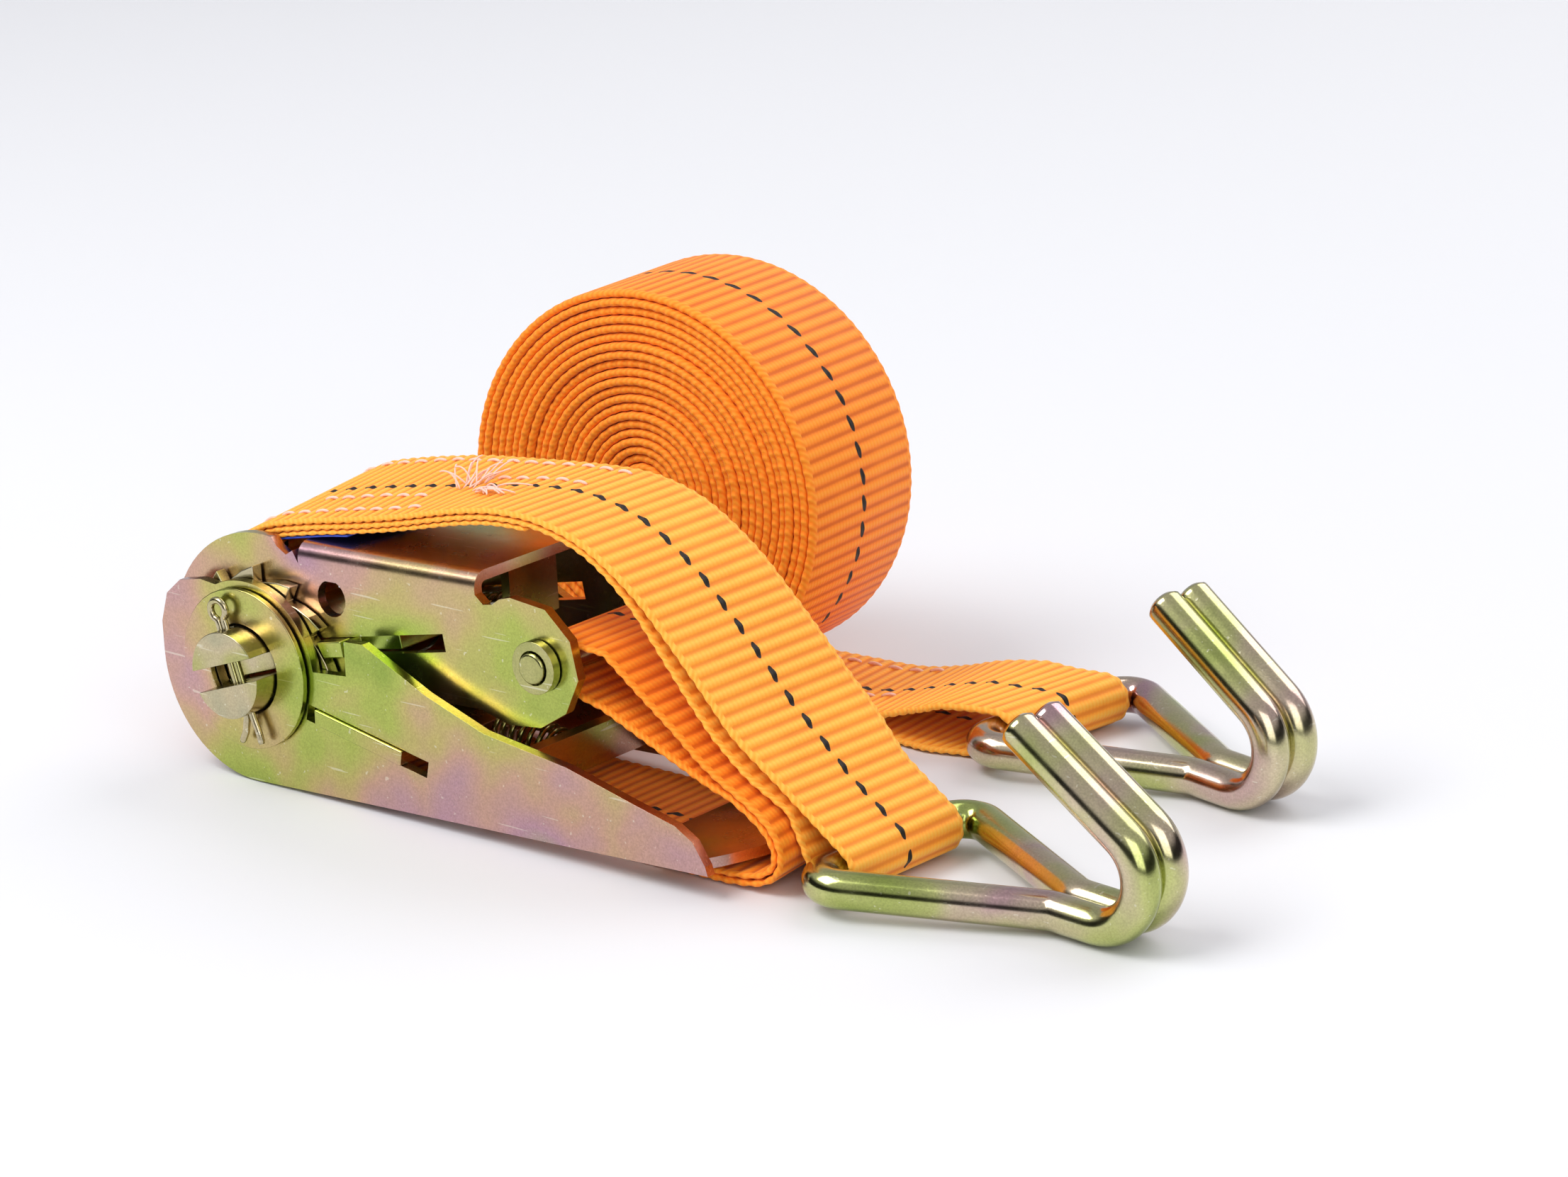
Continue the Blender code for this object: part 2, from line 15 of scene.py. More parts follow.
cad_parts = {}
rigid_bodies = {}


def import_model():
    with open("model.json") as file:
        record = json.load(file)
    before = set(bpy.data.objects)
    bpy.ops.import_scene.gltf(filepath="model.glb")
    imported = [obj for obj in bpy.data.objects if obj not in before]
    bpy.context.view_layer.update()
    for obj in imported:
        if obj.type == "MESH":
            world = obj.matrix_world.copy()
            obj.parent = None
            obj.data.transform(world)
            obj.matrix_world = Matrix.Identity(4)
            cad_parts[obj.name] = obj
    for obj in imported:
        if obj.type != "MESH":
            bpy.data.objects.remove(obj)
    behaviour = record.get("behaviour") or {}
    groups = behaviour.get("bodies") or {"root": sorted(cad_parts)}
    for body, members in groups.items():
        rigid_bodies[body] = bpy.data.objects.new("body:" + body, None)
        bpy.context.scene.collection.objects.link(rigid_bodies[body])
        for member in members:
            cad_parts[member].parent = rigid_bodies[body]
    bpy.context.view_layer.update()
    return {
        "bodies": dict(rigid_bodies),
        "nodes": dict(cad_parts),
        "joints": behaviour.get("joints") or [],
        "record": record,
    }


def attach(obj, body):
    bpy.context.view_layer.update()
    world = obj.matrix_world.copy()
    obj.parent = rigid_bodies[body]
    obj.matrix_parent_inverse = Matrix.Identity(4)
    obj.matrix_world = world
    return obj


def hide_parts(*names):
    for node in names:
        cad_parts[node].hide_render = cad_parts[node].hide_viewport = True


LOG = logging.getLogger("tie_down")
MM = 0.001
ORIGIN_X = -40.0  # the mandrel's axis, measured from the row's origin
AXIS_HEIGHT = 22.3
TILT = math.radians(2.2)  # the closed buckle leans back on its strap
WEB_HALF = 17.5
RIB_PITCH = 2.6


def linear(code: str) -> tuple[float, float, float, float]:
    """Turn an sRGB hex value to linear colour.

    Args:
        code: six hex digits after a hash.

    Returns:
        Linear red, green, blue and an alpha of 1.
    """
    raw = np.array([int(code[i:i + 2], 16) for i in (1, 3, 5)]) / 255.0
    low, high = raw / 12.92, ((raw + 0.055) / 1.055) ** 2.4
    return (*np.where(raw <= 0.04045, low, high).tolist(), 1.0)


class Nodes:
    """A material's node tree with one way to add a node."""

    def __init__(self, name: str) -> None:
        """Start an empty material.

        Args:
            name: the material's name.
        """
        self.material = bpy.data.materials.new(name)
        self.material.use_nodes = True
        self.tree = self.material.node_tree
        self.tree.nodes.clear()

    @classmethod
    def within(cls, tree: bpy.types.NodeTree) -> "Nodes":
        """Work in a tree that exists already."""
        made = cls.__new__(cls)
        made.material, made.tree = None, tree
        return made

    def add(self, kind: str, settings: Optional[dict] = None, out: object = 0, **sockets: object) -> object:
        """Add a node, set its properties and feed its sockets.

        Args:
            kind: the node type after ShaderNode.
            settings: properties to set on the node.
            out: the output to return.
            sockets: values or links, named by socket with _ for a space, or i0, i1 by position.

        Returns:
            The chosen output socket, or the node where it has none.
        """
        node = self.tree.nodes.new("ShaderNode" + kind)
        for key, value in (settings or {}).items():
            setattr(node, key, value)
        for key, value in sockets.items():
            index = int(key[1:]) if key[0] == "i" and key[1:].isdigit() else key.replace("_", " ")
            socket = node.inputs[index]
            if isinstance(value, bpy.types.NodeSocket):
                self.tree.links.new(value, socket)
            else:
                socket.default_value = value
        return node.outputs[out] if len(node.outputs) else node

    def calc(self, operation: str, a: object, b: object = 0.0, c: object = 0.0) -> object:
        """Add a Math node and return its value."""
        return self.add("Math", {"operation": operation}, i0=a, i1=b, i2=c)

    def ramp(self, factor: object, stops: Sequence[tuple[float, str]]) -> object:
        """Add a Color Ramp.

        Args:
            factor: the value that picks the colour.
            stops: places from 0 to 1 with their sRGB hex colours.

        Returns:
            The colour socket.
        """
        colour = self.add("ValToRGB", None, i0=factor)
        elements = colour.node.color_ramp.elements
        while len(elements) < len(stops):
            elements.new(0.5)
        for element, (place, code) in zip(elements, stops):
            element.position = place
            element.color = linear(code)
        return colour

    def mix(self, factor: object, a: object, b: object, blend: str = "MIX") -> object:
        """Mix two colours.

        Args:
            factor: the share of the second colour.
            a: the first colour.
            b: the second colour.
            blend: how they are mixed.

        Returns:
            The resulting colour's socket.
        """
        node = self.tree.nodes.new("ShaderNodeMix")
        node.data_type = "RGBA"
        node.blend_type = blend
        for index, value in ((0, factor), (6, a), (7, b)):
            if isinstance(value, bpy.types.NodeSocket):
                self.tree.links.new(value, node.inputs[index])
            else:
                node.inputs[index].default_value = value
        return node.outputs[2]

    def finish(self, **sockets: object) -> bpy.types.Material:
        """Add the Principled shader and the output, and return the material."""
        shader = self.add("BsdfPrincipled", None, **sockets)
        self.add("OutputMaterial", None, Surface=shader)
        return self.material


class Tone(Enum):
    """How the dyed cloth reads under painted light and shade, as its crest, body and groove colours; the
    groove colour is painted shade.

    The first is a copy with painted shade, darker and redder, for cloth in the roll and under the buckle; the
    second is a copy with painted full light for a single run.
    """

    SHADED = ("#ff9c2c", "#fa8419", "#d9640e")
    LIT = ("#ffb848", "#ffa230", "#ea8322")


@dataclass(frozen=True)
class Webbing:
    """Woven polyester tape: soft ribs across its width, and black tracer dashes down its middle."""

    name: str = "woven_polyester_webbing"
    tone: Tone = Tone.SHADED
    tracer: str = "#1a120e"
    yarn_mm: float = 1.05
    braid_mm: float = 1.3
    dash_mm: float = 5.2
    selvedge_from: float = 16.3

    def build(self) -> bpy.types.Material:
        """Build the cloth; the UV map holds lengths along and across in millimetres."""
        n = Nodes(self.name)
        uv = n.add("UVMap", {"uv_map": "UVMap"})
        split = n.add("SeparateXYZ", None, Vector=uv).node
        along, across = split.outputs[0], split.outputs[1]
        turn = 2 * math.pi
        # A rib is one weft bundle; the beads on it are the warp yarns that cross it.
        rib = n.calc("COSINE", n.calc("MULTIPLY", along, turn / RIB_PITCH))
        rib = n.calc("MULTIPLY_ADD", rib, 0.5, 0.5)
        lean = n.calc("MULTIPLY", along, 0.9)
        bead = n.calc("COSINE", n.calc("MULTIPLY_ADD", across, turn / self.yarn_mm, lean))
        bead = n.calc("MULTIPLY_ADD", bead, 0.5, 0.5)
        # Single filaments are drawn 0.33 mm apart, far coarser than real, so that they show.
        fine = n.calc("SINE", n.calc("MULTIPLY", n.calc("ADD", along, across), 19.0))
        fine = n.calc("MULTIPLY_ADD", fine, 0.5, 0.5)
        # The selvedge is a narrow braid, seen as rings on the face of the roll.
        braid = n.calc("SINE", n.calc("MULTIPLY_ADD", along, turn / self.braid_mm,
                                      n.calc("MULTIPLY", across, 3.0)))
        braid = n.calc("MULTIPLY_ADD", braid, 0.5, 0.5)
        edge = n.calc("GREATER_THAN", n.calc("ABSOLUTE", across), self.selvedge_from)
        crown = n.calc("MULTIPLY", rib, n.calc("MULTIPLY_ADD", bead, 0.35, 0.65))
        crown = n.calc("ADD", n.calc("MULTIPLY", crown, n.calc("SUBTRACT", 1.0, edge)),
                       n.calc("MULTIPLY", n.calc("MULTIPLY_ADD", braid, 0.5, 0.35), edge))
        # Uneven dye, in patches of about 11 mm.
        cloud = n.add("TexNoise", None, Vector=n.add("TexCoord", None, "Object"), Scale=90.0, Detail=3.0)
        # Painted shade: the grooves between ribs, beads and braid loops are coloured darker and their crests
        # lighter, with the uneven dye added.
        shade = n.calc("ADD", crown, n.calc("MULTIPLY", n.calc("SUBTRACT", cloud, 0.5), 0.3))
        light, body, deep = self.tone.value
        colour = n.ramp(shade, [(0.0, deep), (0.3, body), (0.9, light)])
        # Each dash is a slanted oval, 1.4 mm wide and 3.4 mm long.
        part = n.calc("FRACT", n.calc("DIVIDE", along, self.dash_mm))
        centred = n.calc("SUBTRACT", part, 0.5)
        slant = n.calc("MULTIPLY", centred, 0.9)
        wide = n.calc("DIVIDE", n.calc("ABSOLUTE", n.calc("ADD", across, slant)), 0.72)
        tall = n.calc("DIVIDE", n.calc("ABSOLUTE", centred), 0.33)
        oval = n.calc("ADD", n.calc("MULTIPLY", wide, wide), n.calc("MULTIPLY", tall, tall))
        colour = n.mix(n.calc("LESS_THAN", oval, 1.0), colour, linear(self.tracer))
        height = n.calc("ADD", crown, n.calc("MULTIPLY", fine, 0.12))
        bump = n.add("Bump", None, Strength=0.6, Distance=0.00024, Height=height)
        return n.finish(Base_Color=colour, Roughness=0.6, Normal=bump, Sheen_Weight=0.08, Sheen_Roughness=0.4,
                        Specular_IOR_Level=0.25)


@dataclass(frozen=True)
class ZincPlate:
    """Mild steel, pressed and plated with yellow chromate zinc: clouds of green, gold and pink."""

    name: str
    stops: tuple[tuple[float, str], ...] = (
        (0.24, "#8fa84c"), (0.38, "#b5bf62"), (0.47, "#c8b877"), (0.56, "#d0a893"), (0.66, "#c29ba8"),
        (0.78, "#a9ad86"))
    roughness: float = 0.24
    cloud_per_m: float = 34.0

    def build(self) -> bpy.types.Material:
        """Build the plating: interference clouds, fine handling scratches and dull rubbed spots."""
        n = Nodes(self.name)
        place = n.add("TexCoord", None, "Object")
        warp = n.add("TexNoise", None, "Color", Vector=place, Scale=self.cloud_per_m * 0.7, Detail=1.0)
        moved = n.add("VectorMath", {"operation": "MULTIPLY_ADD"}, i0=warp, i1=(0.02, 0.02, 0.02), i2=place)
        # The film is thicker where the bath drained, so its colour changes over about 30 mm.
        cloud = n.add("TexNoise", None, Vector=moved, Scale=self.cloud_per_m, Detail=2.5, Roughness=0.45)
        colour = n.ramp(cloud, self.stops)
        # Crystals of 0.4 mm dull the shine a little.
        speck = n.add("TexNoise", None, Vector=place, Scale=2600.0, Detail=2.0)
        mottled = n.ramp(speck, [(0.3, "#c9c9c9"), (0.7, "#ffffff")])
        colour = n.mix(0.5, colour, mottled, "MULTIPLY")
        # Handling scratches run two ways, 15 mm long and drawn 0.7 to 1.1 mm wide so that they show.
        lengthwise = n.add("Mapping", None, Vector=place, Rotation=(0.3, 0.9, 0.4),
                           Scale=(60.0, 1500.0, 1500.0))
        scratch = n.add("TexNoise", None, Vector=lengthwise, Scale=1.0, Detail=1.0)
        crosswise = n.add("Mapping", None, Vector=place, Rotation=(0.1, -0.7, 1.1),
                          Scale=(900.0, 70.0, 900.0))
        crossed = n.add("TexNoise", None, Vector=crosswise, Scale=1.0, Detail=1.0)
        marks = n.calc("ADD", n.calc("GREATER_THAN", scratch, 0.73), n.calc("GREATER_THAN", crossed, 0.74))
        colour = n.mix(n.calc("MULTIPLY", marks, 0.35), colour, linear("#f4f0dc"))
        # Rubbed spots about 7 mm across are duller than the rest.
        rub = n.add("TexNoise", None, Vector=place, Scale=150.0, Detail=4.0)
        rough = n.calc("MULTIPLY_ADD", rub, 0.22, self.roughness - 0.10)
        height = n.calc("ADD", n.calc("MULTIPLY", speck, 0.4), n.calc("MULTIPLY", marks, -0.5))
        bump = n.add("Bump", None, Strength=0.12, Distance=0.00008, Height=height)
        return n.finish(Base_Color=colour, Metallic=1.0, Roughness=rough, Normal=bump)


@dataclass(frozen=True)
class Thread:
    """Spun polyester sewing thread, twisted from three plies."""

    name: str = "sewing_thread"
    colour: str = "#f6cdbd"

    def build(self) -> bpy.types.Material:
        """Build the thread with a faint twist in its bump, 0.3 mm long."""
        n = Nodes(self.name)
        twist = n.add("TexNoise", None, Vector=n.add("TexCoord", None, "Object"), Scale=3200.0, Detail=1.0)
        colour = n.mix(n.calc("MULTIPLY", twist, 0.4), linear(self.colour), linear("#e59f80"))
        bump = n.add("Bump", None, Strength=0.4, Distance=0.0001, Height=twist)
        return n.finish(Base_Color=colour, Roughness=0.7, Normal=bump, Sheen_Weight=0.3)


@dataclass(frozen=True)
class LabelTape:
    """Coated blue ribbon with a fine plain weave."""

    name: str = "label_tape"
    colour: str = "#2b4fc4"

    def build(self) -> bpy.types.Material:
        """Build the tape with a thread grid of half a millimetre."""
        n = Nodes(self.name)
        split = n.add("SeparateXYZ", None, Vector=n.add("UVMap", {"uv_map": "UVMap"})).node
        grid = n.calc("MULTIPLY", n.calc("SINE", n.calc("MULTIPLY", split.outputs[0], 12.0)),
                      n.calc("SINE", n.calc("MULTIPLY", split.outputs[1], 12.0)))
        colour = n.mix(n.calc("MULTIPLY_ADD", grid, 0.15, 0.2), linear(self.colour), linear("#16308c"))
        bump = n.add("Bump", None, Strength=0.3, Distance=0.00008, Height=grid)
        return n.finish(Base_Color=colour, Roughness=0.42, Normal=bump)


@dataclass(frozen=True)
class Backdrop:
    """Matt white card."""

    name: str = "white_card"
    colour: str = "#e3e3e6"

    def build(self) -> bpy.types.Material:
        """Build the card with a barely visible tone change."""
        n = Nodes(self.name)
        tone = n.add("TexNoise", None, Vector=n.add("TexCoord", None, "Object"), Scale=2.0, Detail=2.0)
        colour = n.mix(n.calc("MULTIPLY", tone, 0.2), linear(self.colour), linear("#dedfe3"))
        return n.finish(Base_Color=colour, Roughness=0.55)


def smooth(points: Sequence[tuple[float, float]], step: float) -> np.ndarray:
    """Evenly spaced points on the Catmull-Rom curve through the given ones.

    Args:
        points: X and Z in millimetres.
        step: distance wanted between points.

    Returns:
        An (n, 2) array.
    """
    p = np.array(points, float)
    p = np.vstack([2 * p[0] - p[1], p, 2 * p[-1] - p[-2]])
    t = np.linspace(0, 1, 24, endpoint=False)[None, :, None]
    a, b, c, d = (p[i:len(p) - 3 + i, None, :] for i in range(4))
    curve = 0.5 * (2 * b + (c - a) * t + (2 * a - 5 * b + 4 * c - d) * t ** 2
                   + (3 * b - a - 3 * c + d) * t ** 3)
    return respaced(np.vstack([curve.reshape(-1, 2), p[-2]]), step)


def travelled(line: np.ndarray) -> np.ndarray:
    """Length travelled along a polyline at each of its points."""
    return np.r_[0, np.cumsum(np.linalg.norm(np.diff(line, axis=0), axis=1))]


def respaced(line: np.ndarray, step: float) -> np.ndarray:
    """Points a fixed distance apart along a polyline, by interpolating on its length.

    Args:
        line: (n, k) points.
        step: distance wanted between points.

    Returns:
        An (m, k) array that keeps both ends.
    """
    keep = np.r_[True, np.linalg.norm(np.diff(line, axis=0), axis=1) > 1e-7]
    line = line[keep]
    length = travelled(line)
    want = np.linspace(0, length[-1], max(3, int(round(length[-1] / step)) + 1))
    return np.stack([np.interp(want, length, line[:, k]) for k in range(line.shape[1])], axis=1)


def eased(value: np.ndarray, start: float, end: float) -> np.ndarray:
    """0 before start and 1 after end, with a smooth cubic step between them."""
    share = np.clip((np.asarray(value, float) - start) / (end - start), 0, 1)
    return share * share * (3 - 2 * share)


def around(upper: np.ndarray, lower: np.ndarray, centre: tuple[float, float], radius: float,
           step: float) -> np.ndarray:
    """A path along upper, round the far side of a circle by its tangents, and back along lower.

    Args:
        upper: points that lead to the circle.
        lower: points that lead away from it.
        centre: the circle's centre.
        radius: its radius.
        step: spacing of the points returned.

    Returns:
        An (n, 2) array.
    """
    side = 1 if upper[-1][0] > centre[0] else -1

    def tangent(point: np.ndarray, way: int) -> float:
        """Angle at which a line from the point touches the circle."""
        gap = np.asarray(point) - np.asarray(centre)
        return math.atan2(gap[1], gap[0]) + way * math.acos(radius / float(np.linalg.norm(gap)))

    start, end = tangent(upper[-1], side), tangent(lower[0], -side)
    while side * (end - start) < 0:
        end += side * 2 * math.pi
    t = np.linspace(start, end, 48)
    turn = np.stack([centre[0] + radius * np.cos(t), centre[1] + radius * np.sin(t)], axis=1)
    return respaced(np.vstack([upper, turn, lower]), step)


def mesh_object(name: str, points: np.ndarray, faces: np.ndarray, finish: bpy.types.Material,
                uv: Optional[np.ndarray] = None) -> bpy.types.Object:
    """Make an object at the origin from arrays in millimetres.

    Args:
        name: the piece's name.
        points: (n, 3) vertices.
        faces: (m, 4) or list of faces.
        finish: its material.
        uv: (n, 2) lengths in millimetres, one for each vertex.

    Returns:
        The object, in the scene's collection.
    """
    mesh = bpy.data.meshes.new(name)
    mesh.from_pydata((points * MM).tolist(), [], faces.tolist() if isinstance(faces, np.ndarray) else faces)
    mesh.materials.append(finish)
    if uv is not None:
        index = np.empty(len(mesh.loops), np.int32)
        mesh.loops.foreach_get("vertex_index", index)
        layer = mesh.uv_layers.new(name="UVMap")
        layer.data.foreach_set("uv", uv[index].astype(np.float32).ravel())
    mesh.shade_smooth()
    mesh.update()
    made = bpy.data.objects.new(name, mesh)
    bpy.context.scene.collection.objects.link(made)
    return made


def grid_faces(rows: int, cols: int) -> np.ndarray:
    """Quads of a tube of rows rings with cols points each, closed round the ring."""
    r, c = np.meshgrid(np.arange(rows - 1), np.arange(cols), indexing="ij")
    a, b = r * cols + c, r * cols + (c + 1) % cols
    return np.stack([a, b, b + cols, a + cols], axis=-1).reshape(-1, 4)


@dataclass
class Tape:
    """One layer of webbing carried along a path in XZ."""

    path: np.ndarray
    thick: float = 1.5
    half: Callable[[np.ndarray], np.ndarray] = lambda x: np.full_like(x, WEB_HALF)
    middle: Callable[[np.ndarray], np.ndarray] = lambda x: np.zeros_like(x)
    skew: Callable[[np.ndarray], np.ndarray] = lambda x: np.zeros_like(x)
    rise: Callable[[np.ndarray], np.ndarray] = lambda p: np.zeros(len(p))
    columns: int = 10
    rib: float = 0.13
    yaw: float = 0.0
    place: tuple[float, float] = (0.0, 0.0)
    wander: Callable[[np.ndarray], np.ndarray] = lambda s: np.zeros_like(s)

    def section(self) -> tuple[np.ndarray, np.ndarray]:
        """A flat oval: straight faces joined by half-round selvedges.

        Returns:
            Places across, from -1 to 1, with how far the edge round adds in thicknesses, and heights.
        """
        flat = np.linspace(-1, 1, self.columns)
        bend = np.linspace(90, -90, 6)[1:-1] * math.pi / 180
        across = np.r_[flat, np.ones(4), flat[::-1], -np.ones(4)]
        out = np.r_[np.zeros(self.columns), np.cos(bend), np.zeros(self.columns), -np.cos(bend)]
        high = np.r_[np.ones(self.columns), np.sin(bend), -np.ones(self.columns), -np.sin(bend)]
        return np.stack([across, out]), high

    def arrays(self) -> tuple[np.ndarray, np.ndarray, list]:
        """Rows of the section along the path, ribbed: height changes as the cosine of the length.

        Returns:
            Vertices, UVs in millimetres and faces.
        """
        p = self.path
        along = np.gradient(p, axis=0)
        along /= np.linalg.norm(along, axis=1)[:, None]
        normal = np.stack([-along[:, 1], along[:, 0]], axis=1)
        length = travelled(p)
        (across, out), high = self.section()
        wave = np.cos(2 * math.pi * length / RIB_PITCH)
        chain = np.abs(np.cos(math.pi * length / RIB_PITCH + 0.5))
        half = self.half(p[:, 0])[:, None] - self.thick / 2
        edge = self.thick / 2 * (0.75 + 0.45 * chain)[:, None]
        y = across[None] * half + out[None] * edge
        lift = high[None] * (self.thick / 2 - self.rib + self.rib * wave[:, None])
        x = p[:, :1] + normal[:, :1] * lift + self.skew(p[:, 0])[:, None] * y
        z = p[:, 1:] + normal[:, 1:] * lift + self.rise(p)[:, None] * (y + WEB_HALF)
        y = y + (self.middle(p[:, 0]) + self.wander(length))[:, None]
        c, s = math.cos(self.yaw), math.sin(self.yaw)
        verts = np.stack([x * c - y * s + self.place[0] + ORIGIN_X, x * s + y * c + self.place[1], z],
                         axis=-1)
        v_flat = across * 16.75 + out * 1.2
        uv = np.stack(np.broadcast_arrays(length[:, None], v_flat[None]), axis=-1)
        rows, cols = len(p), len(high)
        faces = grid_faces(rows, cols).tolist()
        faces.append(list(range(cols)))
        faces.append(list(range((rows - 1) * cols, rows * cols))[::-1])
        return verts.reshape(-1, 3), uv.reshape(-1, 2), faces


def counted_on(points: Sequence[np.ndarray], faces: Sequence[list]) -> list:
    """One face list for several shells, each shell's vertex numbers counted on from the last."""
    starts = np.cumsum([0] + [len(p) for p in points]).tolist()
    return [[i + start for i in face] for start, shell in zip(starts, faces) for face in shell]


def tapes(name: str, layers: Sequence[Tape], finish: bpy.types.Material) -> bpy.types.Object:
    """Make one piece from layers of tape.

    Args:
        name: the piece's name.
        layers: the layers, each a closed strip.
        finish: the cloth.

    Returns:
        The piece.
    """
    points, uvs, faces = zip(*(layer.arrays() for layer in layers))
    return outward(mesh_object(name, np.vstack(points), counted_on(points, faces), finish, np.vstack(uvs)))


def outward(piece: bpy.types.Object) -> bpy.types.Object:
    """Turn a piece's faces outwards and return the piece."""
    body = bmesh.new()
    body.from_mesh(piece.data)
    bmesh.ops.recalc_face_normals(body, faces=body.faces)
    body.to_mesh(piece.data)
    body.free()
    return piece


def shifted(path: np.ndarray, distance: float) -> np.ndarray:
    """A path moved along its own normals."""
    along = np.gradient(path, axis=0)
    along /= np.linalg.norm(along, axis=1)[:, None]
    return path + np.stack([-along[:, 1], along[:, 0]], axis=1) * distance


def tube(path: np.ndarray, radius: float, sides: int = 20, tip: float = 0.0) -> tuple[np.ndarray, list]:
    """A round bar along a 3-D path: rings turned with the least twist, closed by domed or flat caps.

    Args:
        path: (n, 3) points in millimetres.
        radius: the bar's radius.
        sides: points in each ring.
        tip: length over which each end narrows, 0 for none.

    Returns:
        Vertices and faces.
    """
    t = np.gradient(path, axis=0)
    t /= np.linalg.norm(t, axis=1)[:, None]
    frames = np.zeros((len(path), 3))
    seed = np.cross(t[0], [0.3, 0.2, 0.9])
    frames[0] = seed / np.linalg.norm(seed)
    for i in range(1, len(path)):
        kept = frames[i - 1] - t[i] * float(frames[i - 1] @ t[i])
        frames[i] = kept / np.linalg.norm(kept)
    other = np.cross(t, frames)
    length = travelled(path)
    near_end = np.minimum(length, length[-1] - length)
    size = np.full(len(path), radius)
    if tip:
        size = radius * np.sqrt(np.clip(1 - (1 - np.clip(near_end / tip, 0, 1)) ** 2 * 0.45, 0.05, 1))
    angle = np.linspace(0, 2 * math.pi, sides, endpoint=False)
    rings = (path[:, None] + size[:, None, None] * (np.cos(angle)[None, :, None] * frames[:, None]
                                                     + np.sin(angle)[None, :, None] * other[:, None]))
    faces = grid_faces(len(path), sides).tolist()
    faces.append(list(range(sides))[::-1])
    faces.append(list(range((len(path) - 1) * sides, len(path) * sides)))
    return rings.reshape(-1, 3), faces


def bars(name: str, parts: Sequence[tuple[np.ndarray, float, float]], finish: bpy.types.Material,
         sides: int = 20) -> bpy.types.Object:
    """Make one piece from several round bars.

    Args:
        name: the piece's name.
        parts: for each bar its path, radius and tip length.
        finish: its material.
        sides: points round each bar.

    Returns:
        The piece.
    """
    points, faces = zip(*(tube(path, radius, sides, tip) for path, radius, tip in parts))
    return outward(mesh_object(name, np.vstack(points), counted_on(points, faces), finish))


def rounded(corners: Sequence[Sequence[float]], radius: float) -> np.ndarray:
    """Replace each inner corner of a polyline by an arc that touches both of its sides.

    Args:
        corners: (n, 3) points.
        radius: the arcs' radius.

    Returns:
        An (m, 3) array; each arc is turned evenly from one touching point to the other.
    """
    c = np.array(corners, float)
    out = [c[:1]]
    for before, corner, after in zip(c, c[1:], c[2:]):
        a = (before - corner) / np.linalg.norm(before - corner)
        b = (after - corner) / np.linalg.norm(after - corner)
        half = math.acos(float(a @ b)) / 2
        centre = corner + (a + b) / np.linalg.norm(a + b) * radius / math.sin(half)
        start = corner + a * radius / math.tan(half) - centre
        end = corner + b * radius / math.tan(half) - centre
        t = np.linspace(0, 1, 14)[:, None]
        total = math.pi - 2 * half
        out.append(centre + (np.sin((1 - t) * total) * start + np.sin(t * total) * end) / math.sin(total))
    return np.vstack(out + [c[-1:]])


def buckle(points: np.ndarray) -> np.ndarray:
    """Tilt points about the mandrel's axis and lift them from the buckle's frame to the row's."""
    p = np.asarray(points, float)
    c, s = math.cos(TILT), math.sin(TILT)
    return np.stack([p[:, 0] * c - p[:, 2] * s + ORIGIN_X, p[:, 1], p[:, 0] * s + p[:, 2] * c + AXIS_HEIGHT],
                    axis=1)


def emit(piece: bpy.types.Object, body: str, slot: str, *nodes: str) -> bpy.types.Object:
    """Tie a piece to its body, hide the nodes it stands for, and log it.

    Args:
        piece: the piece.
        body: the body it rides on.
        slot: the material slot; not used.
        nodes: the solids it replaces.

    Returns:
        The piece.
    """
    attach(piece, body)
    if nodes:
        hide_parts(*nodes)
    LOG.info("%s rides on %s, %d faces", piece.name, body, len(piece.data.polygons))
    return piece


